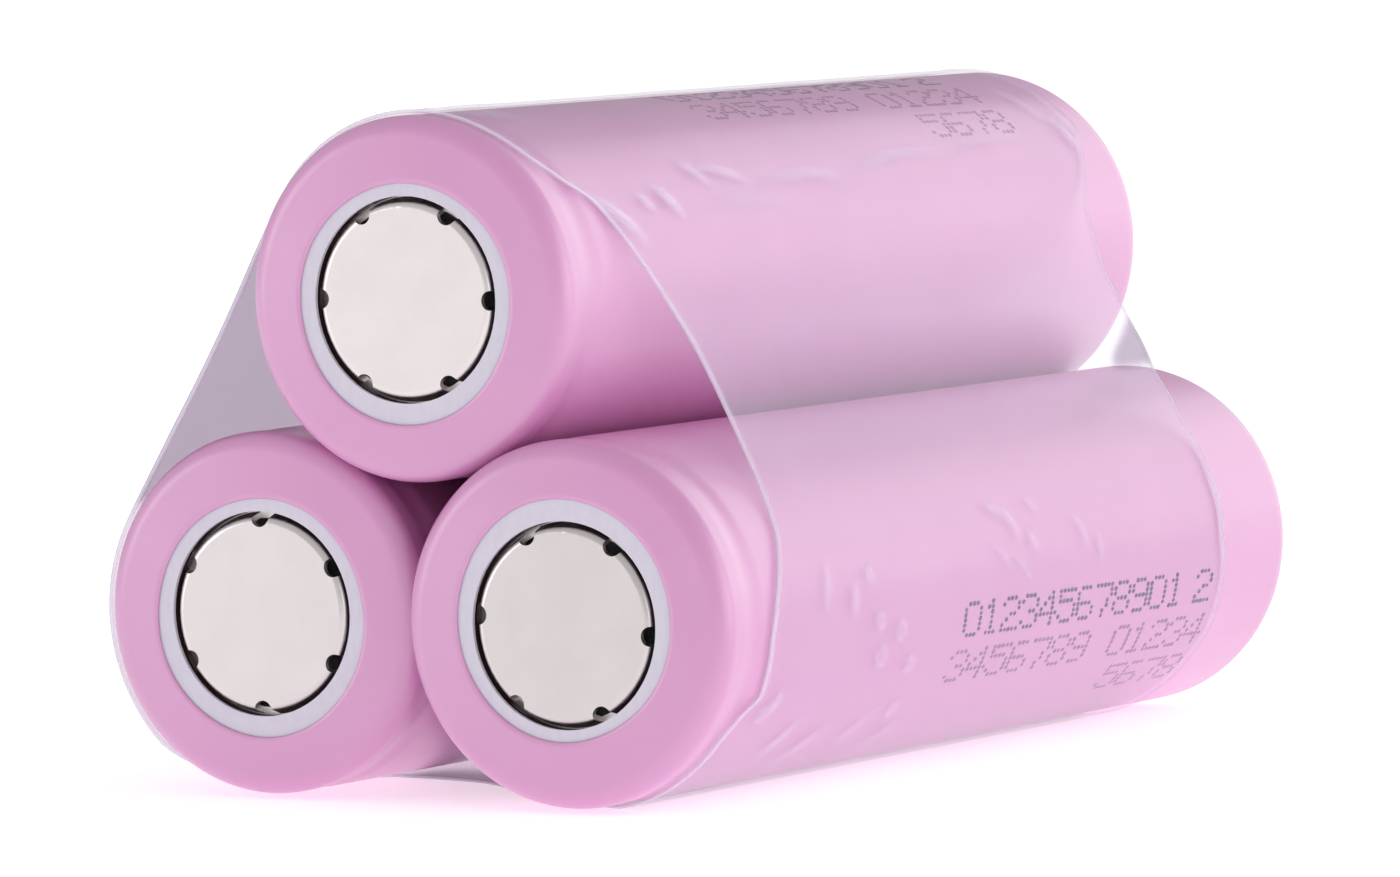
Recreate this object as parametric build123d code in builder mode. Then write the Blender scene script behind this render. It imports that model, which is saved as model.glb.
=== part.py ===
"""Battery pack: three 18650 lithium-ion cells in a triangular stack, held by clear shrink film.

The cells lie along Y with their positive ends towards -Y. Two stand side by side and the third
lies in the valley between them. The origin is at the middle of the pack's underside, +Z is up,
and all sizes are in millimetres. Depths are measured from a cell's front, its positive end.
"""

from build123d import *

import math
import os
from collections import namedtuple

# ---- The cell as bought -------------------------------------------------------------------
jacket_radius = 9.2  # over the printed plastic sleeve
cell_length = 65.0  # from the sleeve's front lip to the negative pad

# ---- The stack ----------------------------------------------------------------------------
cell_gap = 0.1  # between two sleeves, side by side
film_clearance = 0.1  # between the sleeves and the film
film_wall = 0.15
cell_stagger = 0.85  # how far the left cell sits back and the right cell sits forward

# ---- Sleeve -------------------------------------------------------------------------------
sleeve_wall = 0.1
sleeve_fit = 0.02  # between the sleeve and what it shrank on
front_corner = 1.15  # outer radius of the sleeve's front edge
rear_corner = 1.9
rear_mouth_radius = 6.0
mouth_trim = 0.35  # cut off inside the front mouth, which is a little off centre
groove_dip = 0.12  # how far the sleeve sinks into the can's bead

# ---- Can ----------------------------------------------------------------------------------
can_wall = 0.2
base_wall = 0.3
pad_radius = 5.6  # the negative contact, stamped out of the base
pad_height = 0.15
rim_corner = 0.8  # outer radius where the can turns over the gasket
rim_width = 1.75  # how far the crimped rim reaches inward from the can's inner wall
bead_seat = 0.2  # from the gasket's foot to the bead
bead_width = 1.1
bead_depth = 0.93
bead_slope = 0.25  # length of each sloping side
bead_fillet = 0.25

# ---- Insulating washer and header stack ---------------------------------------------------
washer_thickness = 0.22
washer_show = 0.9  # width of the washer that the sleeve's front mouth leaves bare
washer_tuck = 1.1  # width of the washer that the sleeve covers
recess_width = 0.3  # dark ring between the cap and the washer
cap_radius = 4.9  # outside of the cap's raised part
cap_wall = 0.3
cap_depth = 0.1  # the cap's flat top, behind the sleeve's lip
cap_bend = 0.2
cap_taper = 0.25  # how much wider the raised part is at its flange
flange_depth = 1.0
vent_count = 6
vent_radius = 0.5
gasket_fit = 0.04
gasket_wall = 1.05
gasket_foot_width = 1.7
gasket_foot = 0.43
gasket_corner = 0.55
ptc_thickness = 0.3
ptc_width = 2.2
burst_thickness = 0.25
burst_dish = 0.3
burst_step = 1.2
cid_inset = 0.85
cid_gasket_thickness = 0.3
cid_gasket_width = 1.5
cid_thickness = 0.3
cid_hole_circle = 3.8
cid_hole_radius = 0.6
cid_hole_count = 6

# ---- Wound electrodes ---------------------------------------------------------------------
core_radius = 1.55
cathode_thickness = 0.35
anode_thickness = 0.29
separator_thickness = 0.04
layer_gap = 0.02
roll_fit = 0.3  # between the roll and the can
roll_head = 0.4  # from each insulator to the separator's edge
insulator_thickness = 0.2
insulator_fit = 0.15
insulator_head = 0.7  # from the bead to the upper insulator
insulator_tail = 1.05  # from the lower insulator to the base's inner face
separator_overhang = 0.6
outer_turn_spare = 0.75  # share of a turn kept free between the roll and the can
insulator_bore = 1.3
gas_hole_radius = 1.0
gas_hole_circle = 3.6
gas_hole_clocks = (90, 0, -90)  # clear of the tab's slot
pin_fit = 0.4  # between the pin and the roll's core
pin_wall = 0.3
pin_slit = 0.3
pin_inset = 0.3  # from the electrode's edge to the pin's end

# ---- Tabs ---------------------------------------------------------------------------------
tab_width = 3.0
tab_thickness = 0.1
tab_reach = 2.5
tab_bend = 0.3
tab_rise = 0.45  # from the upper insulator to the positive tab's crossing run
tab_slot_margin = 0.25
tab_turns_in = 3  # turns between the tab and the outside of the roll

# ---- Film edges, as depths from the middle cell's front -----------------------------------
film_front = 1.5
film_rear = 55.0
film_tongue = 61.0  # over the top cell the rear edge runs further back
tongue_clock = 35.0  # degrees above the top cell's side where the tongue has its full length
tongue_rise = 7.0
cut_margin = 1.0  # how far the rear cut runs past the film
scallop_reach = 4.6  # how far in a scallop cuts from the panel's outer face
# The drawn-in front edge on two panels: depth, and place across the panel from its middle.
right_panel_normal = 30.0  # degrees from +X towards +Z
bottom_panel_normal = -90.0
right_scallop = (
    (film_front, 14.0),
    (5.1, 9.5),
    (7.6, 0.0),
    (6.8, -8.0),
    (4.0, -14.0),
    (film_front, -17.2),
)
bottom_scallop = (
    (film_front, 13.0),
    (4.5, 8.0),
    (9.4, 0.7),
    (13.6, -8.0),
    (8.7, -11.8),
    (film_front, -14.8),
)

# ---- Worked out from the above ------------------------------------------------------------
pitch = 2 * jacket_radius + cell_gap
axis_height = jacket_radius + film_clearance + film_wall
top_axis_height = axis_height + pitch * math.sin(math.radians(60))
film_radius = axis_height
middle_rise = pitch * math.tan(math.radians(30)) / 2  # from the lower axes to the stack's middle
pack_front = -cell_length / 2

can_radius = jacket_radius - sleeve_wall - sleeve_fit
can_inner = can_radius - can_wall
washer_depth = sleeve_wall + sleeve_fit
can_front = washer_depth + washer_thickness
base_depth = cell_length - pad_height
base_inner = base_depth - base_wall
sleeve_rear = base_depth + sleeve_fit + sleeve_wall

gasket_radius = can_inner - gasket_fit
stack_radius = gasket_radius - gasket_wall
gasket_depth = can_front + can_wall + sleeve_fit
gasket_foot_inner = gasket_radius - gasket_foot_width
washer_inner = cap_radius + recess_width
front_mouth_radius = washer_inner + washer_show
washer_outer = front_mouth_radius + washer_tuck
ptc_depth = flange_depth + cap_wall
burst_depth = ptc_depth + ptc_thickness
cid_gasket_depth = burst_depth + burst_thickness
gasket_foot_depth = cid_gasket_depth + sleeve_fit
gasket_end = gasket_foot_depth + gasket_foot
bead_start = gasket_end + bead_seat
bead_end = bead_start + bead_width
cid_depth = cid_gasket_depth + cid_gasket_thickness
cid_radius = stack_radius - cid_inset
cid_gasket_inner = cid_radius - cid_gasket_width
tab_contact = cid_depth + cid_thickness

winding_pitch = cathode_thickness + anode_thickness + 2 * separator_thickness + 4 * layer_gap
winding_turns = int((can_inner - roll_fit - core_radius) / winding_pitch - outer_turn_spare)
upper_insulator_depth = bead_end + insulator_head
lower_insulator_depth = base_inner - insulator_tail - insulator_thickness
roll_start = upper_insulator_depth + insulator_thickness + roll_head
roll_end = lower_insulator_depth - roll_head
electrode_start = roll_start + separator_overhang
electrode_end = roll_end - separator_overhang
pin_radius = core_radius - pin_fit
tab_level = upper_insulator_depth - tab_rise
separator_offset = cathode_thickness + layer_gap
anode_offset = separator_offset + separator_thickness + layer_gap
outer_separator_offset = anode_offset + anode_thickness + layer_gap
tab_half_turn = 2 * (winding_turns - tab_turns_in)

Cell = namedtuple("Cell", "name x z front vent_clock mouth_shift")
cells = (
    Cell("top", 0.0, top_axis_height, pack_front, 0.0, -0.2),
    Cell("left", -pitch / 2, axis_height, pack_front + cell_stagger, 30.0, -0.2),
    Cell("right", pitch / 2, axis_height, pack_front - cell_stagger, -5.0, 0.25),
)


# ---- Planes and axes of one cell ----------------------------------------------------------
def profile_plane(cell):
    """Lengthwise half section: local x is the radius and local y is the depth."""
    return Plane(origin=(cell.x, cell.front, cell.z), x_dir=(1, 0, 0), z_dir=(0, 0, 1))


def face_plane(cell, depth):
    """Cross-section seen from the front: local y is up, and a negative extrusion goes deeper."""
    return Plane(origin=(cell.x, cell.front + depth, cell.z), x_dir=(1, 0, 0), z_dir=(0, -1, 0))


def cell_axis(cell):
    return Axis((cell.x, cell.front, cell.z), (0, 1, 0))


def ring_part(cell, depth, thickness, outer, inner=0.0):
    """A flat disc, or a washer where it has an inner radius."""
    with BuildPart() as ring:
        with BuildSketch(face_plane(cell, depth)):
            Circle(outer)
            if inner:
                Circle(inner, mode=Mode.SUBTRACT)
        extrude(amount=-thickness)
    return ring


def finish_piece(piece, name, color):
    """Label a finished piece and write its STEP file."""
    piece.part.label = name
    piece.part.color = Color(*color)
    export_step(piece.part, f"parts/{name}.step")


# ---- Outside of the cell ------------------------------------------------------------------
def sleeve_piece(cell):
    """Shrunk plastic tube with both ends folded over. Its front mouth is a little off centre."""
    wall_radius = jacket_radius - sleeve_wall / 2
    lip_depth = sleeve_wall / 2
    dip_length = bead_width / 3
    dip_radius = wall_radius - groove_dip
    with BuildPart() as sleeve:
        with BuildSketch(profile_plane(cell)):
            with BuildLine():
                FilletPolyline(
                    (front_mouth_radius - mouth_trim, lip_depth),
                    (wall_radius, lip_depth),
                    (wall_radius, bead_start),
                    (dip_radius, bead_start + dip_length),
                    (dip_radius, bead_end - dip_length),
                    (wall_radius, bead_end),
                    (wall_radius, sleeve_rear - lip_depth),
                    (rear_mouth_radius, sleeve_rear - lip_depth),
                    radius=(
                        front_corner - lip_depth,
                        dip_length,
                        dip_length,
                        dip_length,
                        dip_length,
                        rear_corner - lip_depth,
                    ),
                )
            trace(line_width=sleeve_wall)
        revolve(axis=cell_axis(cell))
        with BuildSketch(face_plane(cell, 0)):
            with Locations((0, cell.mouth_shift)):
                Circle(front_mouth_radius)
        extrude(amount=-2 * sleeve_wall, mode=Mode.SUBTRACT)
    return sleeve


def can_piece(cell):
    """Nickel-plated steel can: crimped rim, bead, and a base with its contact pad."""
    wall_radius = can_radius - can_wall / 2
    bead_radius = wall_radius - bead_depth
    rim_depth = can_front + can_wall / 2
    with BuildPart() as can:
        with BuildSketch(profile_plane(cell)):
            with BuildLine():
                FilletPolyline(
                    (can_inner - rim_width, rim_depth),
                    (wall_radius, rim_depth),
                    (wall_radius, bead_start),
                    (bead_radius, bead_start + bead_slope),
                    (bead_radius, bead_end - bead_slope),
                    (wall_radius, bead_end),
                    (wall_radius, base_depth - can_wall / 2),
                    (0, base_depth - can_wall / 2),
                    radius=(
                        rim_corner - can_wall / 2,
                        bead_fillet,
                        bead_fillet,
                        bead_fillet,
                        bead_fillet,
                        rear_corner - sleeve_wall - sleeve_fit - can_wall / 2,
                    ),
                )
            trace(line_width=can_wall)
        revolve(axis=cell_axis(cell))
        with BuildSketch(face_plane(cell, base_inner)):
            Circle(can_radius - rear_corner)
        extrude(amount=-base_wall)
        with BuildSketch(face_plane(cell, base_depth)):
            Circle(pad_radius)
        extrude(amount=-pad_height)
        pad_edge = can.edges().filter_by(GeomType.CIRCLE).sort_by(Axis.Y)[-1]
        fillet(pad_edge, pad_height / 2)
    return can


# ---- Header: what closes the can's front end ----------------------------------------------
def gasket_piece(cell):
    """Plastic gasket with a C section that grips the header stack under the crimped rim."""
    with BuildPart() as gasket:
        with BuildSketch(profile_plane(cell)):
            with BuildLine():
                Polyline(
                    (washer_inner, gasket_depth),
                    (gasket_radius, gasket_depth),
                    (gasket_radius, gasket_end),
                    (gasket_foot_inner, gasket_end),
                    (gasket_foot_inner, gasket_foot_depth),
                    (stack_radius + gasket_fit, gasket_foot_depth),
                    (stack_radius + gasket_fit, flange_depth - sleeve_fit),
                    (washer_inner, flange_depth - sleeve_fit),
                    close=True,
                )
            make_face()
        revolve(axis=cell_axis(cell))
        front_edge = gasket.edges().group_by(Axis.Y)[0].sort_by(SortBy.RADIUS)[-1]
        fillet(front_edge, gasket_corner)
    return gasket


def cap_piece(cell):
    """Positive terminal: a flat-topped cap with a flange and vent windows around its edge."""
    flange_level = flange_depth + cap_wall / 2
    top_level = cap_depth + cap_wall / 2
    side_radius = cap_radius - cap_wall / 2
    with BuildPart() as cap:
        with BuildSketch(profile_plane(cell)):
            with BuildLine():
                FilletPolyline(
                    (stack_radius, flange_level),
                    (side_radius + cap_taper, flange_level),
                    (side_radius, top_level),
                    (0, top_level),
                    radius=cap_bend,
                )
            trace(line_width=cap_wall)
        revolve(axis=cell_axis(cell))
        with BuildSketch(face_plane(cell, 0)):
            with PolarLocations(cap_radius, vent_count, start_angle=cell.vent_clock):
                Circle(vent_radius)
        extrude(amount=-flange_depth, mode=Mode.SUBTRACT)
    return cap


def burst_disc_piece(cell):
    """Thin aluminium disc, dished down to its weld on the current interrupter."""
    rim_level = burst_depth + burst_thickness / 2
    dish_level = rim_level + burst_dish
    dish_radius = cid_gasket_inner - burst_dish
    with BuildPart() as burst_disc:
        with BuildSketch(profile_plane(cell)):
            with BuildLine():
                FilletPolyline(
                    (stack_radius, rim_level),
                    (dish_radius, rim_level),
                    (dish_radius - burst_step, dish_level),
                    (0, dish_level),
                    radius=burst_dish,
                )
            trace(line_width=burst_thickness)
        revolve(axis=cell_axis(cell))
    return burst_disc


def cid_disc_piece(cell):
    """Perforated disc of the current interrupter, under the burst disc."""
    with BuildPart() as cid_disc:
        with BuildSketch(face_plane(cell, cid_depth)):
            Circle(cid_radius)
            with PolarLocations(cid_hole_circle, cid_hole_count):
                Circle(cid_hole_radius, mode=Mode.SUBTRACT)
        extrude(amount=-cid_thickness)
    return cid_disc


# ---- Wound electrodes ---------------------------------------------------------------------
def layer_radius(offset, half_turn):
    """Inner radius of a wound layer on one of its half turns."""
    return core_radius + offset + half_turn * winding_pitch / 2


def tab_x(offset, thickness, side):
    """Where a flat tab stands in the middle of a curved layer, on its -X or +X side."""
    middle = layer_radius(offset, tab_half_turn) + thickness / 2
    sag = middle - math.sqrt(middle**2 - (tab_width / 2) ** 2)
    return side * (middle - sag / 2) - winding_pitch / 4


def winding_piece(cell, start, end, thickness, offsets):
    """Spiral strips of semicircles whose centres alternate by half a pitch, one for each offset."""
    with BuildPart() as winding:
        for offset in offsets:
            with BuildSketch(face_plane(cell, start)):
                with BuildLine():
                    for face_offset in (offset, offset + thickness):
                        for half_turn in range(2 * winding_turns):
                            odd = half_turn % 2
                            center_x = (2 * odd - 1) * winding_pitch / 4
                            radius = layer_radius(face_offset, half_turn)
                            CenterArc((center_x, 0), radius, 180 * odd, 180)
                    for half_turn in (0, 2 * winding_turns):
                        end_x = layer_radius(offset, half_turn) - winding_pitch / 4
                        Line((end_x, 0), (end_x + thickness, 0))
                make_face()
            extrude(amount=start - end)
    return winding


def insulator_piece(cell, depth, tab_position, gas_holes):
    """Insulating disc at one end of the roll, with a slot that the tab passes through."""
    with BuildPart() as insulator:
        with BuildSketch(face_plane(cell, depth)):
            Circle(can_inner - insulator_fit)
            Circle(insulator_bore, mode=Mode.SUBTRACT)
            with Locations((tab_position, 0)):
                Rectangle(
                    tab_thickness + 2 * tab_slot_margin,
                    tab_width + 2 * tab_slot_margin,
                    mode=Mode.SUBTRACT,
                )
            for clock in gas_holes:
                with PolarLocations(gas_hole_circle, 1, start_angle=clock):
                    Circle(gas_hole_radius, mode=Mode.SUBTRACT)
        extrude(amount=-insulator_thickness)
    return insulator


def tab_piece(cell, *points):
    """A flat strip bent along a path of radius and depth points."""
    with BuildPart() as tab:
        with BuildSketch(profile_plane(cell)):
            with BuildLine():
                FilletPolyline(*points, radius=tab_bend)
            trace(line_width=tab_thickness)
        extrude(amount=tab_width / 2, both=True)
    return tab


def pin_piece(cell):
    """Slit steel tube in the roll's core, which keeps its gas channel open."""
    start = electrode_start + pin_inset
    length = electrode_end - electrode_start - 2 * pin_inset
    with BuildPart() as pin:
        with BuildSketch(face_plane(cell, start)):
            Circle(pin_radius)
            Circle(pin_radius - pin_wall, mode=Mode.SUBTRACT)
            with Locations((0, pin_radius)):
                Rectangle(pin_slit, 2 * pin_wall + pin_slit, mode=Mode.SUBTRACT)
        extrude(amount=-length)
    return pin


# ---- Film around the stack ----------------------------------------------------------------
def panel_plane(normal_angle):
    """Outer face of a flat panel: local x is the depth, and local y runs across the panel."""
    angle = math.radians(normal_angle)
    normal = (math.cos(angle), 0, math.sin(angle))
    reach = film_radius + middle_rise
    origin = (reach * normal[0], pack_front, axis_height + middle_rise + reach * normal[2])
    return Plane(origin=origin, x_dir=(0, 1, 0), z_dir=normal)


def film_piece():
    """Clear shrink film: a rounded triangle tube, open at both ends, with drawn-in edges."""
    corners = [(cell.x, cell.z) for cell in cells]
    film_plane = Plane(
        origin=(0, pack_front + film_front, 0), x_dir=(1, 0, 0), z_dir=(0, -1, 0)
    )
    side_plane = Plane(origin=(0, pack_front, 0), x_dir=(0, 1, 0), z_dir=(1, 0, 0))
    tongue_top = top_axis_height + film_radius * math.sin(math.radians(tongue_clock))
    tongue_foot = tongue_top - tongue_rise
    tongue_middle = (tongue_foot + tongue_top) / 2
    with BuildPart() as film:
        with BuildSketch(film_plane):
            Polygon(*corners, align=None)
            offset(amount=film_radius, kind=Kind.ARC)
            offset(amount=-film_wall, kind=Kind.ARC, mode=Mode.SUBTRACT)
        extrude(amount=film_front - film_tongue)
        with BuildSketch(side_plane):
            with BuildLine():
                Bezier(
                    (film_rear, tongue_foot),
                    (film_rear, tongue_middle),
                    (film_tongue, tongue_middle),
                    (film_tongue, tongue_top),
                )
                Polyline(
                    (film_tongue, tongue_top),
                    (film_tongue + cut_margin, tongue_top),
                    (film_tongue + cut_margin, -cut_margin),
                    (film_rear, -cut_margin),
                    (film_rear, tongue_foot),
                )
            make_face()
        extrude(amount=pitch + film_radius, both=True, mode=Mode.SUBTRACT)
        for normal_angle, edge in (
            (right_panel_normal, right_scallop),
            (bottom_panel_normal, bottom_scallop),
        ):
            first, last = edge[0], edge[-1]
            with BuildSketch(panel_plane(normal_angle).offset(film_wall)):
                with BuildLine():
                    Spline(*edge)
                    Polyline(last, (0, last[1]), (0, first[1]), first)
                make_face()
            extrude(amount=-scallop_reach, mode=Mode.SUBTRACT)
    return film


# ---- Make and write every piece -----------------------------------------------------------
os.makedirs("parts", exist_ok=True)

pink = (0.86, 0.62, 0.80)
white = (0.90, 0.90, 0.92)
steel = (0.75, 0.75, 0.76)
dark = (0.10, 0.07, 0.08)
silver = (0.82, 0.82, 0.84)
graphite = (0.16, 0.16, 0.17)
copper = (0.62, 0.38, 0.26)
cream = (0.93, 0.91, 0.85)
clear = (0.85, 0.83, 0.90, 0.35)

positive_x = tab_x(0, cathode_thickness, -1)
negative_x = tab_x(anode_offset, anode_thickness, 1)

for cell in cells:
    ptc_inner = stack_radius - ptc_width
    positive_path = (
        (positive_x, electrode_start),
        (positive_x, tab_level),
        (tab_reach, tab_level),
        (tab_reach, tab_contact + tab_thickness / 2),
        (-tab_reach, tab_contact + tab_thickness / 2),
    )
    negative_path = (
        (negative_x, electrode_end),
        (negative_x, base_inner - tab_thickness / 2),
        (-tab_reach, base_inner - tab_thickness / 2),
    )
    separator_offsets = (separator_offset, outer_separator_offset)
    pieces = {
        "sleeve": (sleeve_piece(cell), pink),
        "insulating_washer": (
            ring_part(
                cell,
                washer_depth,
                washer_thickness,
                washer_outer,
                washer_inner,
            ),
            white,
        ),
        "can": (can_piece(cell), steel),
        "crimp_gasket": (gasket_piece(cell), dark),
        "positive_cap": (cap_piece(cell), silver),
        "ptc_ring": (
            ring_part(cell, ptc_depth, ptc_thickness, stack_radius, ptc_inner),
            graphite,
        ),
        "burst_disc": (burst_disc_piece(cell), silver),
        "cid_gasket": (
            ring_part(
                cell,
                cid_gasket_depth,
                cid_gasket_thickness,
                cid_radius,
                cid_gasket_inner,
            ),
            cream,
        ),
        "cid_disc": (cid_disc_piece(cell), silver),
        "positive_tab": (tab_piece(cell, *positive_path), silver),
        "upper_insulator": (
            insulator_piece(cell, upper_insulator_depth, positive_x, gas_hole_clocks),
            cream,
        ),
        "cathode": (
            winding_piece(cell, electrode_start, electrode_end, cathode_thickness, (0,)),
            graphite,
        ),
        "anode": (
            winding_piece(
                cell, electrode_start, electrode_end, anode_thickness, (anode_offset,)
            ),
            copper,
        ),
        "separator": (
            winding_piece(
                cell, roll_start, roll_end, separator_thickness, separator_offsets
            ),
            cream,
        ),
        "centre_pin": (pin_piece(cell), steel),
        "lower_insulator": (
            insulator_piece(cell, lower_insulator_depth, negative_x, ()),
            cream,
        ),
        "negative_tab": (tab_piece(cell, *negative_path), steel),
    }
    for piece_name, (piece, color) in pieces.items():
        finish_piece(piece, f"{cell.name}_{piece_name}", color)

finish_piece(film_piece(), "shrink_film", clear)
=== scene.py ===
"""How the battery pack looks: printed plastic sleeves, nickel caps and a clear shrink film.

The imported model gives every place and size. This script makes finer sleeves, their dot-matrix
print and the film as meshes, and gives every piece a procedural material. Lengths are written
in millimetres and turned into metres where a mesh is made. Depths are measured along +Y from
the front of the top cell, and angles go round a cell from +X towards +Z.
"""
import math

import bpy
import numpy as np
from mathutils import Matrix, Vector


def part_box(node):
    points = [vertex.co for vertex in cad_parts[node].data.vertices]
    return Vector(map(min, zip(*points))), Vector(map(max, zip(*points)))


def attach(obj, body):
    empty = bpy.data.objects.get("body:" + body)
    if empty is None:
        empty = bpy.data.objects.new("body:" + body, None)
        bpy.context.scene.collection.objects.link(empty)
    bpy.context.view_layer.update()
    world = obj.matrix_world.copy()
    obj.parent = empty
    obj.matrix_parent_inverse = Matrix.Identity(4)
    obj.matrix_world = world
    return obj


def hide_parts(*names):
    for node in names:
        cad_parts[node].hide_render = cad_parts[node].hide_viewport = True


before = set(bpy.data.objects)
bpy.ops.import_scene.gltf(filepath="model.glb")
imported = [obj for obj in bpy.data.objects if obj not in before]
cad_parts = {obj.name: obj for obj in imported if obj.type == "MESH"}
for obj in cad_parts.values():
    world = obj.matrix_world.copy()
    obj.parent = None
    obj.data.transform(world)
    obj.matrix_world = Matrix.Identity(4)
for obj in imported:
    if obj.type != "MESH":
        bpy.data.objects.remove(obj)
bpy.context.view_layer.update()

MM = 0.001
TAU = 2 * math.pi
CELLS = ("top", "left", "right")


# ---- Sizes read from the frame ------------------------------------------------------------
class Cell:
    """Axis, front and size of one cell in millimetres."""

    def __init__(self, name):
        low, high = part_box(f"{name}_sleeve")
        self.name = name
        self.x = (low.x + high.x) / 2 / MM
        self.z = (low.z + high.z) / 2 / MM
        self.radius = (high.z - low.z) / 2 / MM
        self.front = low.y / MM
        self.length = (high.y - low.y) / MM


cells = {name: Cell(name) for name in CELLS}
top, left, right = (cells[name] for name in CELLS)
pack_front = top.front
film_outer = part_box("shrink_film")[1].z / MM - top.z
pitch = right.x - left.x


# ---- Mesh helpers -------------------------------------------------------------------------
def torus_faces(rows, columns):
    """Quads of a grid that closes on itself both ways."""
    row, column = np.meshgrid(np.arange(rows), np.arange(columns), indexing="ij")
    next_row = (row + 1) % rows
    next_column = (column + 1) % columns
    corners = (
        row * columns + column,
        row * columns + next_column,
        next_row * columns + next_column,
        next_row * columns + column,
    )
    return np.stack([c.ravel() for c in corners], axis=1)


def make_piece(name, points, faces, material, body):
    """A smooth-shaded mesh piece from points in millimetres, riding on a CAD body."""
    mesh = bpy.data.meshes.new(name)
    mesh.from_pydata((np.asarray(points) * MM).tolist(), [], [tuple(face) for face in faces])
    mesh.polygons.foreach_set("use_smooth", [True] * len(mesh.polygons))
    mesh.materials.append(material)
    mesh.update()
    piece = bpy.data.objects.new(name, mesh)
    bpy.context.scene.collection.objects.link(piece)
    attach(piece, body)
    return piece


def add_attribute(piece, name, values):
    """A number at each point of the mesh, which its material reads."""
    attribute = piece.data.attributes.new(name, "FLOAT", "POINT")
    attribute.data.foreach_set("value", np.asarray(values, np.float32).ravel())


def bump(distance, width):
    """A smooth hill: 1 at the middle, falling to nothing a few widths away."""
    return np.exp(-((distance / width) ** 2))


def rise(value, low, high):
    """A smooth step from 0 at the low end to 1 at the high end."""
    share = np.clip((value - low) / (high - low), 0, 1)
    return share * share * (3 - 2 * share)


# ---- Material helpers ---------------------------------------------------------------------
class Nodes:
    """Short way to build a node material."""

    def __init__(self, name):
        self.material = bpy.data.materials.new(name)
        self.material.use_nodes = True
        self.tree = self.material.node_tree
        self.shader = self.tree.nodes["Principled BSDF"]
        self.output = self.tree.nodes["Material Output"]
        self.place = self.add("ShaderNodeTexCoord").outputs["Object"]

    def add(self, kind, settings=None, **inputs):
        node = self.tree.nodes.new(kind)
        for key, value in (settings or {}).items():
            setattr(node, key, value)
        for key, value in inputs.items():
            self.set(node.inputs[key.replace("_", " ")], value)
        return node

    def set(self, socket, value):
        if isinstance(value, bpy.types.NodeSocket):
            self.tree.links.new(value, socket)
        else:
            socket.default_value = value

    def shade(self, **inputs):
        for key, value in inputs.items():
            self.set(self.shader.inputs[key.replace("_", " ")], value)

    def scaled(self, scale):
        """Object coordinates stretched by a scale for each axis."""
        node = self.add("ShaderNodeMapping", Vector=self.place)
        node.inputs["Scale"].default_value = scale
        return node.outputs["Vector"]

    def noise(self, scale, detail=3.0, vector=None, roughness=0.5):
        """Noise whose grain is 1 / scale metres across."""
        node = self.add(
            "ShaderNodeTexNoise",
            Vector=vector or self.place,
            Scale=scale,
            Detail=detail,
            Roughness=roughness,
        )
        return node.outputs["Fac"]

    def ramp(self, value, low, high, out_low=0.0, out_high=1.0):
        """Maps low..high of a value onto out_low..out_high, clamped."""
        node = self.add("ShaderNodeMapRange", {"interpolation_type": "SMOOTHSTEP"}, Value=value)
        for key, number in zip(
            ("From Min", "From Max", "To Min", "To Max"), (low, high, out_low, out_high)
        ):
            node.inputs[key].default_value = number
        return node.outputs["Result"]

    def blend(self, share, first, second):
        """A colour between two, by a share from 0 to 1."""
        node = self.add("ShaderNodeMix", {"data_type": "RGBA"})
        self.set(node.inputs[0], share)
        self.set(node.inputs[6], first)
        self.set(node.inputs[7], second)
        return node.outputs[2]

    def math(self, operation, first, second=0.0):
        node = self.add("ShaderNodeMath", {"operation": operation})
        self.set(node.inputs[0], first)
        self.set(node.inputs[1], second)
        return node.outputs[0]

    def bumps(self, height, distance, strength=1.0):
        """Normal from a height map, where distance is its depth in metres."""
        node = self.add(
            "ShaderNodeBump", Height=height, Distance=distance, Strength=strength
        )
        return node.outputs["Normal"]


def rgb(red, green, blue):
    return (red, green, blue, 1.0)


# ---- Materials ----------------------------------------------------------------------------
def jacket_material():
    """Pink heat-shrink PVC with a satin skin, faint lengthwise drawing lines and cloudy tone."""
    m = Nodes("pink_pvc")
    cloud = m.noise(140, 4)
    lines = m.noise(900, 2, m.scaled((1.0, 0.03, 1.0)))
    tone = m.blend(m.ramp(cloud, 0.3, 0.7), rgb(0.64, 0.245, 0.51), rgb(0.66, 0.262, 0.53))
    m.shade(
        Base_Color=tone,
        Roughness=m.ramp(lines, 0.2, 0.8, 0.44, 0.52),
        Specular_IOR_Level=0.7,
        Subsurface_Weight=0.12,
        Subsurface_Scale=0.0006,
        Coat_Weight=1.0,
        Coat_IOR=1.85,
        Coat_Roughness=0.34,
        Normal=m.bumps(lines, 0.00002, 0.4),
    )
    m.shader.inputs["Subsurface Radius"].default_value = (1.0, 0.5, 0.8)
    return m.material


def print_material():
    """Violet-grey marking ink that has taken unevenly."""
    m = Nodes("marking_ink")
    fade = m.add("ShaderNodeAttribute", {"attribute_name": "fade"}).outputs["Fac"]
    worn = m.math("MAXIMUM", m.ramp(m.noise(2600, 3), 0.45, 0.8, 0.0, 0.35), fade)
    tone = m.blend(worn, rgb(0.055, 0.03, 0.11), rgb(0.62, 0.27, 0.51))
    m.shade(Base_Color=tone, Roughness=m.ramp(worn, 0, 1, 0.45, 0.6), Coat_Weight=0.5, Coat_Roughness=0.4)
    return m.material


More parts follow.
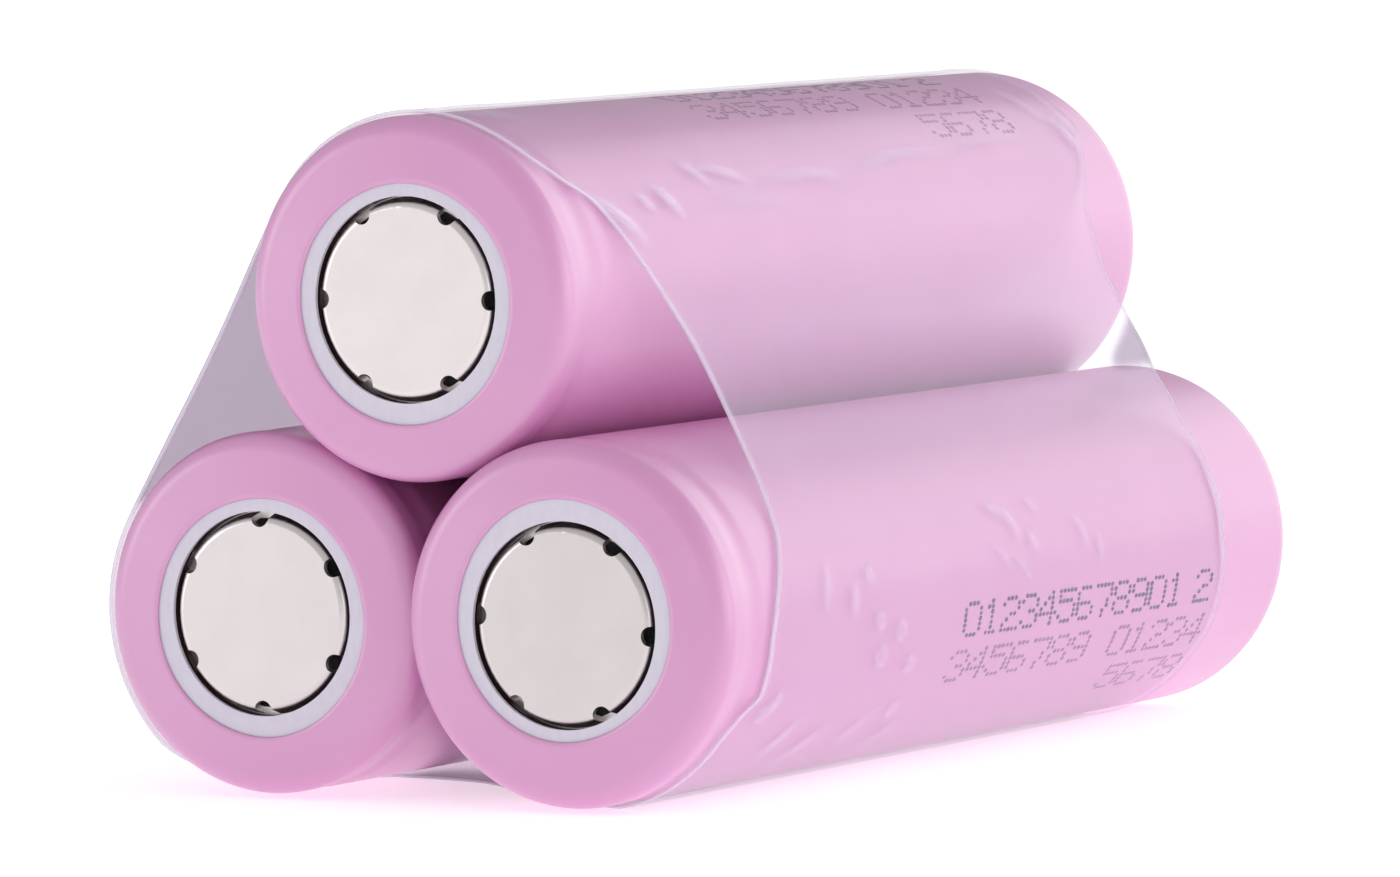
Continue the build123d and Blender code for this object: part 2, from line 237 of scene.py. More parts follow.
def washer_material():
    """Pale grey-lilac insulating card with fine fibres."""
    m = Nodes("insulating_card")
    fibres = m.noise(3500, 5, m.scaled((1.0, 1.0, 0.35)))
    tone = m.blend(fibres, rgb(0.60, 0.56, 0.66), rgb(0.70, 0.67, 0.76))
    m.shade(
        Base_Color=tone,
        Roughness=m.ramp(fibres, 0.3, 0.7, 0.5, 0.65),
        Normal=m.bumps(fibres, 0.00001, 0.5),
    )
    return m.material


def metal_material(name, dark, light, grain, low, high, scratches=0.3):
    """Plated metal: fine grain, cloudy tone and faint scratches."""
    m = Nodes(name)
    fine = m.noise(grain, 4)
    cloud = m.noise(grain / 12, 3)
    m.shade(
        Base_Color=m.blend(m.ramp(cloud, 0.3, 0.7), dark, light),
        Metallic=1.0,
        Roughness=m.ramp(fine, 0.25, 0.75, low, high),
        Normal=m.bumps(fine, 0.000012, scratches),
    )
    return m.material


def plastic_material(name, dark, light, grain, low, high, **extra):
    """Moulded plastic, film or card: cloudy tone and a fine surface."""
    m = Nodes(name)
    fine = m.noise(grain, 4)
    m.shade(
        Base_Color=m.blend(m.noise(grain / 10, 3), dark, light),
        Roughness=m.ramp(fine, 0.25, 0.75, low, high),
        Normal=m.bumps(fine, 0.00001, 0.4),
        **extra,
    )
    return m.material


def foil_material(name, dark, light, metallic):
    """Coated electrode foil: fine powder with pressed lengthwise bands."""
    m = Nodes(name)
    powder = m.noise(6000, 6)
    bands = m.noise(500, 2, m.scaled((0.2, 1.0, 0.2)))
    m.shade(
        Base_Color=m.blend(bands, dark, light),
        Metallic=metallic,
        Roughness=m.ramp(powder, 0.3, 0.7, 0.5, 0.8),
        Normal=m.bumps(powder, 0.00001, 0.6),
    )
    return m.material


def film_material():
    """Clear shrink film: mirrors more at a slant, hazes at creases and cut edges, with painted highlights
    on folds, the rear edge and in the valley, and is greyed where shade is painted on it.
    """
    m = Nodes("clear_film")
    edge, crease, smoke = (
        m.add("ShaderNodeAttribute", {"attribute_name": name}).outputs["Fac"]
        for name in ("edge", "crease", "smoke")
    )
    cloud = m.ramp(m.noise(90, 3), 0.3, 0.7, 0.02, 0.045)
    dust = m.ramp(m.noise(1500, 2), 0.80, 0.86, 0.0, 0.5)
    haze = m.math("ADD", cloud, dust)
    # Haze at folds and bubble rims whitens the film: partly stress-whitening, partly painted highlight.
    # In the valley it is painted light that lifts the shade.
    haze = m.math("ADD", haze, m.math("MULTIPLY", crease, 0.40))
    # Cut edges haze into a pale line, with a painted highlight along part of the rear edge.
    haze = m.math("ADD", haze, m.math("MULTIPLY", edge, 0.55))
    haze = m.math("MINIMUM", haze, 0.9)
    fine = m.noise(400, 4)
    surface = m.bumps(fine, 0.00003, 0.25)
    m.shade(
        Base_Color=m.blend(edge, rgb(0.84, 0.74, 0.94), rgb(0.90, 0.84, 0.97)),
        Roughness=m.ramp(fine, 0.3, 0.7, 0.30, 0.42),
        Specular_IOR_Level=0.3,
        Normal=surface,
    )
    clear = m.add("ShaderNodeBsdfTransparent")
    # Painted shade: the clear part turns grey where the shade attribute is set.
    m.set(clear.inputs["Color"], m.blend(smoke, rgb(0.985, 0.975, 0.985), rgb(0.67, 0.62, 0.68)))
    body = m.add("ShaderNodeMixShader")
    m.set(body.inputs[0], haze)
    m.set(body.inputs[1], clear.outputs[0])
    m.set(body.inputs[2], m.shader.outputs[0])
    mirror = m.add("ShaderNodeBsdfGlossy", Normal=surface, Roughness=0.22)
    facing = m.add("ShaderNodeLayerWeight", Blend=0.5, Normal=surface).outputs["Facing"]
    schlick = m.math("MULTIPLY_ADD", m.math("POWER", facing, 5.0), 0.22)
    schlick.node.inputs[2].default_value = 0.02
    skin = m.add("ShaderNodeMixShader")
    m.set(skin.inputs[0], schlick)
    m.set(skin.inputs[1], body.outputs[0])
    m.set(skin.inputs[2], mirror.outputs[0])
    m.set(m.output.inputs["Surface"], skin.outputs[0])
    return m.material


def floor_material():
    """Plain pale studio floor."""
    m = Nodes("studio_floor")
    m.shade(
        Base_Color=m.blend(m.noise(6, 2), rgb(0.90, 0.90, 0.905), rgb(0.92, 0.92, 0.925)),
        Roughness=0.7,
        Specular_IOR_Level=0.2,
        Emission_Color=rgb(1.0, 1.0, 1.0),
        Emission_Strength=0.5,
    )
    return m.material


pink = jacket_material()
ink = print_material()
film_look = film_material()
steel = metal_material("can_steel", rgb(0.64, 0.63, 0.62), rgb(0.68, 0.67, 0.66), 4000, 0.28, 0.42)
tab_nickel = metal_material(
    "tab_nickel", rgb(0.66, 0.64, 0.60), rgb(0.74, 0.72, 0.68), 4500, 0.25, 0.40
)
aluminium = metal_material(
    "header_aluminium", rgb(0.78, 0.78, 0.80), rgb(0.86, 0.86, 0.88), 4200, 0.32, 0.48
)
# Gasket: its own brown-black, set as dark as the shaded recess round each cap, so its colour also paints
# that recess shade.
dark_gasket_and_recess_shade = plastic_material(
    "dark_gasket_and_recess_shade", rgb(0.030, 0.010, 0.010), rgb(0.055, 0.018, 0.016), 3000, 0.35, 0.5
)
LOOKS = {
    "insulating_washer": washer_material(),
    "can": steel,
    "crimp_gasket": dark_gasket_and_recess_shade,
    "ptc_ring": foil_material("ptc_polymer", rgb(0.02, 0.02, 0.02), rgb(0.05, 0.05, 0.05), 0.0),
    "burst_disc": aluminium,
    "cid_gasket": plastic_material(
        "cid_plastic", rgb(0.75, 0.72, 0.62), rgb(0.85, 0.82, 0.74), 2500, 0.4, 0.6
    ),
    "cid_disc": aluminium,
    "positive_tab": aluminium,
    "upper_insulator": plastic_material(
        "insulator_card", rgb(0.70, 0.66, 0.56), rgb(0.82, 0.79, 0.70), 3200, 0.5, 0.7
    ),
    "cathode": foil_material("cathode_coating", rgb(0.012, 0.012, 0.013), rgb(0.03, 0.03, 0.032), 0.1),
    "anode": foil_material("anode_coating", rgb(0.05, 0.045, 0.042), rgb(0.20, 0.10, 0.06), 0.35),
    "separator": plastic_material(
        "separator_film", rgb(0.82, 0.82, 0.80), rgb(0.90, 0.90, 0.88), 5000, 0.35, 0.55
    ),
    "centre_pin": steel,
    "negative_tab": tab_nickel,
}
LOOKS["lower_insulator"] = LOOKS["upper_insulator"]
# Painted shade: one nickel plate, made lighter or darker for each cell to stand in for how light falls on
# each cap.
CAP_PAINTED_SHADES = {"top": 0.92, "left": 0.85, "right": 0.80}
for cell_name, tone in CAP_PAINTED_SHADES.items():
    LOOKS[f"{cell_name}_positive_cap"] = metal_material(
        f"{cell_name}_nickel_plate",
        rgb(0.80 * tone, 0.745 * tone, 0.74 * tone),
        rgb(0.83 * tone, 0.775 * tone, 0.77 * tone),
        5200,
        0.28,
        0.36,
    )


# ---- Sleeves ------------------------------------------------------------------------------
SLEEVE_WALL = 0.1
FRONT_CORNER = 1.15
REAR_CORNER = 1.9
MOUTH_RADIUS = 6.1
REAR_MOUTH_RADIUS = 6.0
MOUTH_SHIFTS = {"top": -0.2, "left": -0.2, "right": 0.25}
BEAD_MIDDLE = 3.05
BEAD_REACH = 1.25
BEAD_DIP = 0.12
FACE_FALL = 0.17  # how much deeper the front face is at its outer corner than at its mouth
COLUMNS = 220
CORNER_ROWS = 13
ROW_STEP = 0.15  # between rows near the bead
BEAD_ROWS_END = 5.2  # behind this depth the sleeve is straight and its rows lie far apart
LONG_ROWS = 40


def sleeve_rows(cell, angles):
    """Radius and depth of the sleeve's outer face, row by row, from front mouth to rear mouth."""
    shift = MOUTH_SHIFTS[cell.name]
    mouth = shift * np.sin(angles) + np.sqrt(MOUTH_RADIUS**2 - (shift * np.cos(angles)) ** 2)
    phase = cell.x / pitch * 4
    mouth = mouth + 0.03 * np.sin(3 * angles + phase) + 0.02 * np.sin(5 * angles + 2 * phase)
    flat = cell.radius - FRONT_CORNER
    same = np.ones_like(angles)
    rows = []
    for share in np.linspace(0, 1, 9)[:-1]:
        rows.append((mouth + (flat - mouth) * share, FACE_FALL * share * same))
    for turn in np.radians(np.linspace(0, 90, CORNER_ROWS)):
        rows.append(
            (
                (flat + FRONT_CORNER * math.sin(turn)) * same,
                (FACE_FALL + (FRONT_CORNER - FACE_FALL) * (1 - math.cos(turn))) * same,
            )
        )
    rear_start = cell.length - REAR_CORNER
    depths = np.concatenate(
        (
            np.arange(FRONT_CORNER + ROW_STEP, BEAD_ROWS_END, ROW_STEP),
            np.linspace(BEAD_ROWS_END + 0.4, rear_start - 0.3, LONG_ROWS),
        )
    )
    for depth in depths:
        reach = min(abs(depth - BEAD_MIDDLE) / BEAD_REACH, 1.0)
        dip = BEAD_DIP * math.cos(reach * math.pi / 2) ** 2
        rows.append(((cell.radius - dip) * same, depth * same))
    for turn in np.radians(np.linspace(0, 90, CORNER_ROWS)):
        rows.append(
            (
                (cell.radius - REAR_CORNER + REAR_CORNER * math.cos(turn)) * same,
                (rear_start + REAR_CORNER * math.sin(turn)) * same,
            )
        )
    rear_flat = cell.radius - REAR_CORNER
    rear_mouth = REAR_MOUTH_RADIUS + 0.04 * np.sin(4 * angles + phase)
    for share in np.linspace(0, 1, 6)[1:]:
        rows.append((rear_flat + (rear_mouth - rear_flat) * share, cell.length * same))
    radius, depth = (np.array(part) for part in zip(*rows))
    return radius, depth


def make_sleeve(cell):
    """Shrunk tube with folded-over ends, a dip over the can's bead and a rounded front mouth."""
    angles = np.linspace(0, TAU, COLUMNS, endpoint=False)
    radius, depth = sleeve_rows(cell, angles)
    along_r = np.gradient(radius, axis=0)
    along_d = np.gradient(depth, axis=0)
    size = np.hypot(along_r, along_d)
    inner_radius = radius - SLEEVE_WALL * along_d / size
    inner_depth = depth + SLEEVE_WALL * along_r / size
    lips = []
    for end in (0, -1):
        inward = np.sign(radius[1 if end == 0 else -2] - radius[end]) * -SLEEVE_WALL / 2
        lips.append(
            (
                (radius[end] + inner_radius[end]) / 2 + inward,
                (depth[end] + inner_depth[end]) / 2,
            )
        )
    all_radius = np.vstack((lips[0][0], radius, lips[1][0], inner_radius[::-1]))
    all_depth = np.vstack((lips[0][1], depth, lips[1][1], inner_depth[::-1]))
    points = np.stack(
        (
            cell.x + all_radius * np.cos(angles),
            cell.front + all_depth,
            cell.z + all_radius * np.sin(angles),
        ),
        axis=-1,
    ).reshape(-1, 3)
    faces = torus_faces(len(all_radius), COLUMNS)
    piece = make_piece(f"{cell.name}_jacket", points, faces[:, ::-1], pink, f"{cell.name}_cell")
    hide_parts(f"{cell.name}_sleeve")


# ---- Dot-matrix print: counting digits only -----------------------------------------------
DIGITS = {
    "0": ("01110", "10001", "10001", "10001", "10001", "10001", "01110"),
    "1": ("00100", "01100", "00100", "00100", "00100", "00100", "01110"),
    "2": ("01110", "10001", "00001", "00110", "01000", "10000", "11111"),
    "3": ("01110", "10001", "00001", "00110", "00001", "10001", "01110"),
    "4": ("00010", "00110", "01010", "10010", "11111", "00010", "00010"),
    "5": ("11111", "10000", "11110", "00001", "00001", "10001", "01110"),
    "6": ("01110", "10000", "10000", "11110", "10001", "10001", "01110"),
    "7": ("11111", "00001", "00001", "00010", "00010", "00100", "00100"),
    "8": ("01110", "10001", "10001", "01110", "10001", "10001", "01110"),
    "9": ("01110", "10001", "10001", "01111", "00001", "00001", "01110"),
}
PRINT_ROWS = (  # digits, depth of the first one, row below the first row, pitch
    ("012345678901", 25.1, 0, 2.16),
    ("2", 52.3, 0, 2.16),
    ("3456789", 24.6, 1, 2.36),
    ("01234", 43.6, 1, 2.3),
    ("5678", 45.4, 2, 2.4),
)
PRINT_ANGLES = {"right": -9.9, "top": 83.0, "left": 200.0}  # middle of the first row
ROW_ANGLE = 15.9
ROW_SLOPE = -0.09  # degrees a row turns for each millimetre of depth
DOT_ACROSS = 0.275  # between dots round the cell
DOT_LENGTH = 0.21
DOT_WIDTH = 0.14
ROW_FADES = (0.0, 0.38, 0.5)
INK_HEIGHT = 0.008


def dot_places(cell):
    """Depth, angle and fade of every printed dot."""
    for digits, start, row, spacing in PRINT_ROWS:
        column_pitch = spacing * 0.78 / 4
        for place, digit in enumerate(digits):
            for line, bits in enumerate(DIGITS[digit]):
                for column, bit in enumerate(bits):
                    if bit == "1":
                        depth = start + place * spacing + column * column_pitch
                        across = (3 - line) * DOT_ACROSS / cell.radius
                        middle = PRINT_ANGLES[cell.name] - row * ROW_ANGLE
                        slope = ROW_SLOPE * (depth - PRINT_ROWS[0][1])
                        yield depth, math.radians(middle + slope) + across, ROW_FADES[row]


def make_print(cell):
    """Low, flat-topped dots of ink that make up the digits."""
    corners = 10
    turns = np.linspace(0, TAU, corners, endpoint=False)
    points, faces, fades = [], [], []
    random = np.random.default_rng(7)
    for depth, angle, fade in dot_places(cell):
        base = len(points)
        fades += [fade] * (2 * corners)
        size = random.uniform(0.85, 1.08)
        for scale, height in ((1.0, -INK_HEIGHT), (0.85, INK_HEIGHT)):
            for turn in turns:
                at = angle + scale * size * DOT_WIDTH * math.sin(turn) / cell.radius
                reach = cell.radius + height
                along = depth + scale * size * DOT_LENGTH * math.cos(turn)
                points.append(
                    (cell.x + reach * math.cos(at), pack_front + along, cell.z + reach * math.sin(at))
                )
        for corner in range(corners):
            after = (corner + 1) % corners
            faces.append((base + corner, base + corners + corner, base + corners + after, base + after))
        faces.append(tuple(base + corners + corner for corner in range(corners)))
        faces.append(tuple(base + corner for corner in reversed(range(corners))))
    piece = make_piece(f"{cell.name}_print", points, faces, ink, f"{cell.name}_cell")
    add_attribute(piece, "fade", fades)
    piece.data.shade_flat()


# ---- Film ---------------------------------------------------------------------------------
FILM_WALL = 0.15
FILM_ROWS = 166
FINE_STEP = 0.29  # between points round the film, where it has the finest folds
COARSE_STEP = 0.62
CUT_WIDTH = 0.22  # of the thicker, hazy line along a cut edge
CUT_SWELL = 0.03
BUBBLE_HEIGHT = 0.05
BUBBLE_RIM = 0.16
SWELLS = 26  # shallow waves, which add up to a slightly uneven film
SWELL_HEIGHT = 0.0045
arc_length = (film_outer - FILM_WALL / 2) * TAU / 3
loop_length = 3 * (arc_length + pitch)


def on_right(angle):
    """Place round the film, in millimetres from the bottom of the right cell, by its angle there."""
    return (angle + 90) / 120 * arc_length


def right_panel(share):
    """Place on the flat between the right cell, at 0, and the top cell, at 1."""
    return arc_length + share * pitch


def on_top(angle):
    """Place round the film by the angle at the top cell."""
    return arc_length + pitch + (angle - 30) / 120 * arc_length


def left_panel(share):
    """Place on the flat between the top cell, at 0, and the left cell, at 1."""
    return 2 * arc_length + pitch + share * pitch


def on_left(angle):
    """Place round the film by the angle at the left cell."""
    return 2 * (arc_length + pitch) + (angle - 150) / 120 * arc_length


def bottom_panel(share):
    """Place on the flat between the left cell, at 0, and the right cell, at 1."""
    return 3 * arc_length + 2 * pitch + share * pitch


FRONT_EDGE = (  # place round the film, depth of the front edge
    (on_right(-90), 3.4),
    (on_right(-75), 2.0),
    (on_right(-55), 1.4),
    (on_right(-38), 1.5),
    (on_right(-29), 2.3),
    (on_right(-22), 3.6),
    (on_right(-7), 3.6),
    (on_right(5), 4.1),
    (on_right(16), 5.0),
    (on_right(28), 6.1),
    (right_panel(0.19), 7.1),
    (right_panel(0.5), 7.6),
    (right_panel(0.71), 7.1),
    (right_panel(0.86), 6.4),
    (on_top(30), 5.1),
    (on_top(40), 3.1),
    (on_top(52), 1.8),
    (on_top(67), 1.4),
    (on_top(110), 1.4),
    (left_panel(0.0), 1.6),
    (left_panel(0.5), 2.0),
    (left_panel(1.0), 1.7),
    (on_left(225), 1.7),
    (on_left(240), 3.0),
    (on_left(247), 5.0),
    (on_left(254), 8.7),
    (on_left(262), 11.6),
    (bottom_panel(0.02), 13.4),
    (bottom_panel(0.3), 12.4),
    (bottom_panel(0.54), 9.4),
    (bottom_panel(0.8), 6.0),
)
REAR_EDGE = (
    (on_right(-90), 55.0),
    (right_panel(0.55), 55.0),
    (right_panel(0.8), 56.6),
    (right_panel(1.0), 59.5),
    (on_top(45), 61.0),
    (on_top(135), 61.0),
    (left_panel(0.0), 59.5),
    (left_panel(0.2), 56.6),
    (left_panel(0.45), 55.0),
    (on_left(180), 55.0),
)


def round_the_loop(knots, places):
    """Smooth closed curve through the knots, which are in order round the film."""
    x = np.array([k[0] for k in knots])
    y = np.array([k[1] for k in knots])
    x = np.concatenate((x[-2:] - loop_length, x, x[:2] + loop_length))
    y = np.concatenate((y[-2:], y, y[:2]))
    steps = np.diff(y) / np.diff(x)
    slope = np.zeros_like(y)
    same_way = steps[:-1] * steps[1:] > 0
    mean = 2 * steps[:-1] * steps[1:] / np.where(same_way, steps[:-1] + steps[1:], 1)
    slope[1:-1] = np.where(same_way, mean, 0)
    i = np.clip(np.searchsorted(x, places, side="right") - 1, 0, len(x) - 2)
    width = x[i + 1] - x[i]
    t = (places - x[i]) / width
    return (
        y[i] * (1 + 2 * t) * (1 - t) ** 2
        + slope[i] * width * t * (1 - t) ** 2
        + y[i + 1] * t**2 * (3 - 2 * t)
        + slope[i + 1] * width * t**2 * (t - 1)
    )


def cross_section(places):
    """Point and outward normal of the film's middle surface for each place round it."""
    corner_order = (right, top, left)
    section = places // (arc_length + pitch)
    within = places - section * (arc_length + pitch)
    start_angle = -90 + 120 * section
    on_arc = within < arc_length
    angle = np.radians(start_angle + 120 * np.clip(within / arc_length, 0, 1))
    normal = np.stack((np.cos(angle), np.sin(angle)), axis=-1)
    centres = np.array([(c.x, c.z) for c in corner_order])
    here = centres[section.astype(int) % 3]
    following = centres[(section.astype(int) + 1) % 3]
    share = np.where(on_arc, 0, (within - arc_length) / pitch)[:, None]
    middle = here + (following - here) * share + normal * (film_outer - FILM_WALL / 2)
    return middle, normal


# Raised folds: place round the film and depth of the middle, half length, half width, lean
# (degrees from the cell's length towards higher places), height.
FOLDS = (
    (right_panel(0.95), 6.9, 2.1, 0.42, -40, 0.20),
    (right_panel(0.99), 10.2, 0.8, 0.26, -43, 0.13),
    (right_panel(0.99), 12.5, 1.3, 0.32, -46, 0.18),
    (on_top(37.5), 16.6, 1.4, 0.22, -36, 0.14),
    (on_top(37), 19.5, 2.6, 0.25, -14, 0.10),
    (on_top(33.5), 27.0, 5.0, 0.35, 1, 0.08),
    (on_top(37), 38.0, 7.0, 0.35, 5, 0.07),
    (on_top(40.5), 49.0, 5.0, 0.35, 4, 0.06),
    (right_panel(0.97), 20.0, 5.0, 0.5, 2, 0.05),
    (on_top(45), 60.0, 1.0, 0.25, -60, 0.10),
    (on_top(40), 59.3, 1.6, 0.25, -70, 0.14),
    (on_top(56), 57.5, 1.8, 0.3, -65, 0.08),
    (on_right(24), 29.2, 0.9, 0.22, -30, 0.09),
    (on_right(20), 30.6, 1.3, 0.22, -50, 0.10),
    (on_right(24), 33.5, 0.8, 0.2, -35, 0.07),
    (on_right(12), 32.6, 0.7, 0.25, -60, 0.09),
    (on_right(13), 38.4, 1.0, 0.22, -60, 0.08),
    (on_right(7), 40.2, 0.8, 0.22, -80, 0.08),
    (on_right(9), 29.0, 1.2, 0.22, -40, 0.06),
    (on_right(5), 31.0, 1.4, 0.22, -38, 0.05),
    (on_right(-27), 5.5, 1.0, 0.3, 60, 0.10),
    (on_right(-42), 8.6, 1.6, 0.3, 55, 0.09),
    (on_right(-48), 12.0, 1.8, 0.3, 52, 0.09),
    (on_right(-44), 16.8, 1.3, 0.28, 55, 0.07),
    (on_right(-50), 21.0, 1.5, 0.3, 50, 0.07),
    (on_right(8), 9.6, 1.2, 0.35, 75, 0.07),
    (on_right(3), 12.4, 0.9, 0.3, 80, 0.08),
    (on_top(78), 4.5, 2.5, 0.4, -30, 0.07),
    (on_top(105), 6.0, 2.8, 0.4, 35, 0.09),
    (on_top(128), 9.0, 2.2, 0.35, 40, 0.09),
    (on_left(175), 6.5, 2.2, 0.35, -35, 0.09),
    (on_left(190), 14.0, 2.6, 0.3, -25, 0.07),
    (on_left(165), 48.0, 3.0, 0.35, 25, 0.08),
    (left_panel(0.1), 20.0, 4.0, 0.5, 15, 0.08),
    (left_panel(0.9), 36.0, 5.0, 0.5, -10, 0.08),
)
BUBBLES = (  # place, depth, radius of the raised ring
    (on_right(-5), 15.2, 0.42),
    (on_right(-9), 17.6, 0.50),
    (on_right(-17), 15.9, 0.50),
    (on_right(-21), 19.4, 0.40),
    (on_right(10), 14.2, 0.36),
    (on_right(-38), 19.9, 0.45),
    (on_right(-30), 4.6, 0.40),
    (on_left(205), 22.0, 0.45),
    (on_top(120), 33.0, 0.45),
)


# Painted shade: the film is greyed where shade falls inside the pack, seen through the left panel.
LEFT_PAINTED_SHADE = (  # share of the left panel, how deep the painted shade reaches from the front
    (0.0, -3.0),
    (0.15, 1.5),
    (0.3, 3.5),
    (0.5, 8.0),
    (0.6, 11.2),
    (0.7, 15.5),
    (0.76, 16.0),
    (0.8, 7.0),
    (0.86, 4.0),
    (0.94, 2.5),
    (1.0, -3.0),
)


def spaced_places():
    """Places round the film, closer together on the side with the finest folds."""
    fine = np.arange(0, on_top(62), FINE_STEP)
    coarse_count = int((loop_length - fine[-1]) / COARSE_STEP)
    coarse = np.linspace(fine[-1], loop_length, coarse_count, endpoint=False)[1:]
    return np.concatenate((fine, coarse))


def make_film():
    """Thin closed sheet round the three cells, with folds, bubbles and thicker cut edges."""
    places = spaced_places()
    shares = np.linspace(0, 1, FILM_ROWS)
    front = round_the_loop(FRONT_EDGE, places)
    rear = round_the_loop(REAR_EDGE, places)
    rear = rear + 0.12 * np.sin(places * 0.7) + 0.08 * np.sin(places * 1.9 + 1)
    depth = front + (rear - front) * shares[:, None]
    place = np.broadcast_to(places, depth.shape)

    raised = np.zeros_like(depth)
    crease = np.zeros_like(depth)
    for at, deep, half_length, half_width, lean, height in FOLDS:
        across_loop = (place - at + loop_length / 2) % loop_length - loop_length / 2
        turn = math.radians(lean)
        along = (depth - deep) * math.cos(turn) + across_loop * math.sin(turn)
        across = across_loop * math.cos(turn) - (depth - deep) * math.sin(turn)
        across = across + 0.12 * along**2 / half_length
        hill = bump(along, half_length * 0.75) * bump(across, half_width)
        raised += height * hill
        crease = np.maximum(crease, hill * min(height / 0.16, 1.0))
    # Painted light: haze laid over the valley between the right and top cells to lift its shade.
    in_valley = rise(place, right_panel(0.02), right_panel(0.3))
    in_valley = in_valley * (1 - rise(place, right_panel(0.45), right_panel(0.9)))
    crease = np.maximum(crease, 0.28 * in_valley)
    for at, deep, ring in BUBBLES:
        across_loop = (place - at + loop_length / 2) % loop_length - loop_length / 2
        distance = np.hypot(depth - deep, across_loop)
        hill = bump(distance - 0.8 * ring, BUBBLE_RIM)
        raised += BUBBLE_HEIGHT * hill
        crease = np.maximum(crease, hill * 0.4)
    random = np.random.default_rng(3)
    for _ in range(SWELLS):
        swell_length = random.uniform(3, 16)
        direction = random.uniform(0, TAU)
        phase = random.uniform(0, TAU)
        turns = round(loop_length / swell_length * math.cos(direction)) / loop_length
        wave = TAU * (place * turns + depth * math.sin(direction) / swell_length)
        raised += SWELL_HEIGHT * np.sin(wave + phase)
    # Painted highlight: the rear cut edge hazes most round on_right(14), where a bright streak of light
    # falls on it.
    rear_edge_painted_highlight = 0.3 + 0.7 * bump(place - on_right(14), 3.5)
    front_cut = bump(depth - front, CUT_WIDTH)
    rear_cut = bump(rear - depth, CUT_WIDTH)
    edge = np.maximum(front_cut, rear_edge_painted_highlight * rear_cut)
    # Painted shade on the film: the left panel near the front, a strip by the gap between cells at the
    # back, and the bottom panel near the front, where the film's own shadow falls.
    reach_shares, reaches = zip(*LEFT_PAINTED_SHADE)
    reach = np.interp(place, [left_panel(share) for share in reach_shares], reaches)
    gap_low = right_panel(0.32)
    gap_high = right_panel(0.36) + 0.5 * (depth - 51)
    by_the_gap = rise(place, gap_low - 0.4, gap_low + 0.4)
    by_the_gap = by_the_gap * (1 - rise(place, gap_high - 0.4, gap_high + 0.4))
    below = rise(place, bottom_panel(0.0), bottom_panel(0.1))
    smoke = np.maximum.reduce(
        (
            1 - rise(depth, reach, reach + 3),
            by_the_gap * rise(depth, 49.5, 51.5),
            below * (1 - rise(depth, 14, 20)),
        )
    )

    middle, normal = cross_section(places)
    facing_floor = np.clip(-normal[:, 1], 0, 1)
    outward = np.maximum(raised, 0) * (1 - np.clip(facing_floor * 1.6, 0, 1))
    half = FILM_WALL / 2 + CUT_SWELL * edge

    def surface(sign):
        """One face of the film: never inside its own rest line, and flat where it meets the floor."""
        offset = outward + sign * half
        if sign < 0:
            offset = np.maximum(offset, -FILM_WALL / 2)
        offset = np.where(facing_floor > 0.9, np.minimum(offset, FILM_WALL / 2), offset)
        x = middle[:, 0] + normal[:, 0] * offset
        z = middle[:, 1] + normal[:, 1] * offset
        return np.stack((x, pack_front + depth, z), axis=-1)

    points = np.concatenate((surface(1), surface(-1)[::-1])).reshape(-1, 3)
    faces = torus_faces(2 * len(shares), len(places))
    film = make_piece("clear_film", points, faces[:, ::-1], film_look, "wrap")
    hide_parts("shrink_film")
    for name, values in (("edge", edge), ("crease", crease), ("smoke", smoke)):
        add_attribute(film, name, np.concatenate((values, values[::-1])))


for cell in cells.values():
    make_sleeve(cell)
    make_print(cell)
make_film()

for node_name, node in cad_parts.items():
    for look_name, look in LOOKS.items():
        if node_name == look_name or node_name.endswith("_" + look_name):
            node.data.materials.clear()
            node.data.materials.append(look)


# ---- Floor, light and camera --------------------------------------------------------------
def make_floor():
    """A wide pale disc just under the pack."""
    bpy.ops.mesh.primitive_circle_add(
        vertices=96, radius=3.4, fill_type="NGON", location=(0, 0, -0.02 * MM)
    )
    floor = bpy.context.object
    floor.name = "floor"
    floor.data.materials.append(floor_material())


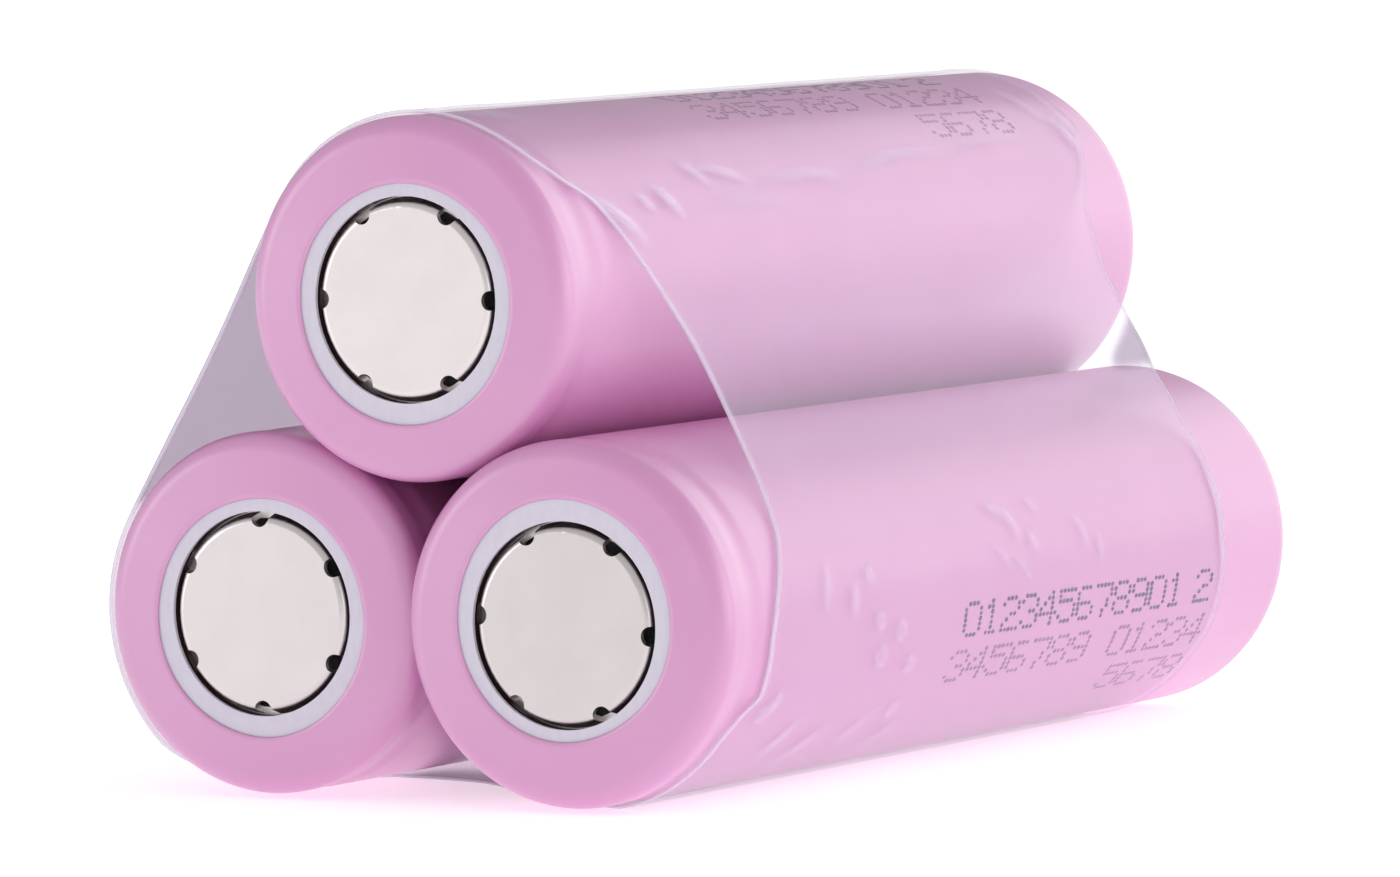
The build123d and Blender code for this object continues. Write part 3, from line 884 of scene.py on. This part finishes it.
def make_world():
    """White studio all round, greyer behind the pack to the left."""
    world = bpy.data.worlds.new("studio")
    world.use_nodes = True
    bpy.context.scene.world = world
    tree = world.node_tree
    background = tree.nodes["Background"]
    direction = tree.nodes.new("ShaderNodeTexCoord").outputs["Generated"]
    parts = tree.nodes.new("ShaderNodeSeparateXYZ")
    tree.links.new(direction, parts.inputs[0])

    def ramp(value, low, high):
        node = tree.nodes.new("ShaderNodeMapRange")
        node.interpolation_type = "SMOOTHSTEP"
        node.inputs["From Min"].default_value = low
        node.inputs["From Max"].default_value = high
        tree.links.new(value, node.inputs["Value"])
        return node.outputs["Result"]

    behind = ramp(parts.outputs["Y"], 0.0, 0.6)
    to_left = ramp(parts.outputs["X"], -0.05, -0.5)
    both = tree.nodes.new("ShaderNodeMath")
    both.operation = "MULTIPLY"
    tree.links.new(behind, both.inputs[0])
    tree.links.new(to_left, both.inputs[1])
    colour = tree.nodes.new("ShaderNodeMix")
    colour.data_type = "RGBA"
    tree.links.new(both.outputs[0], colour.inputs[0])
    colour.inputs[6].default_value = (1.0, 0.99, 1.0, 1)
    colour.inputs[7].default_value = (0.74, 0.70, 0.75, 1)
    tree.links.new(colour.outputs[2], background.inputs["Color"])
    background.inputs["Strength"].default_value = 0.64


def make_light(name, place, width, height, watts):
    """A soft lamp at a place in metres, aimed at the pack."""
    data = bpy.data.lights.new(name, "AREA")
    data.shape = "RECTANGLE"
    data.size = width
    data.size_y = height
    data.energy = watts
    lamp = bpy.data.objects.new(name, data)
    lamp.location = place
    lamp.visible_camera = False
    aim = Vector((0, 0, 0.018)) - Vector(place)
    lamp.rotation_euler = aim.to_track_quat("-Z", "Y").to_euler()
    bpy.context.scene.collection.objects.link(lamp)


def make_camera():
    """Camera at the right front, just above the cells' height, with a long lens."""
    azimuth, elevation, roll = (math.radians(a) for a in (28.76, 3.74, -0.95))
    distance, shift_right, shift_up = 546.48, 0.94, 1.57
    back = Vector(
        (
            math.sin(azimuth) * math.cos(elevation),
            -math.cos(azimuth) * math.cos(elevation),
            math.sin(elevation),
        )
    )
    level_right = back.cross(Vector((0, 0, -1))).normalized()
    level_up = back.cross(level_right)
    to_right = level_right * math.cos(roll) + level_up * math.sin(roll)
    to_up = level_up * math.cos(roll) - level_right * math.sin(roll)
    place = Vector((0, 0, 18)) + back * distance - to_right * shift_right - to_up * shift_up
    data = bpy.data.cameras.new("camera")
    data.lens = 266.65
    data.sensor_width = 36
    data.clip_start = 0.01
    data.clip_end = 20
    camera = bpy.data.objects.new("camera", data)
    turn = Matrix((to_right, to_up, back)).transposed()
    camera.matrix_world = Matrix.Translation(place * MM) @ turn.to_4x4()
    bpy.context.scene.collection.objects.link(camera)
    bpy.context.scene.camera = camera


make_floor()
make_world()
make_light("sheen_right", (0.42, 0.87, 0.32), 1.2, 0.62, 2.35)
make_light("front_left", (-0.60, -0.50, 0.14), 0.3, 0.3, 0.65)
make_light("front_right", (0.74, -0.28, 0.12), 0.4, 0.3, 0.5)
make_light("right_high", (0.70, 0.10, 0.35), 0.4, 0.3, 0.5)
make_light("right_low", (0.75, 0.10, 0.10), 0.4, 0.2, 0.5)
make_camera()
bpy.context.scene.view_settings.view_transform = "Standard"
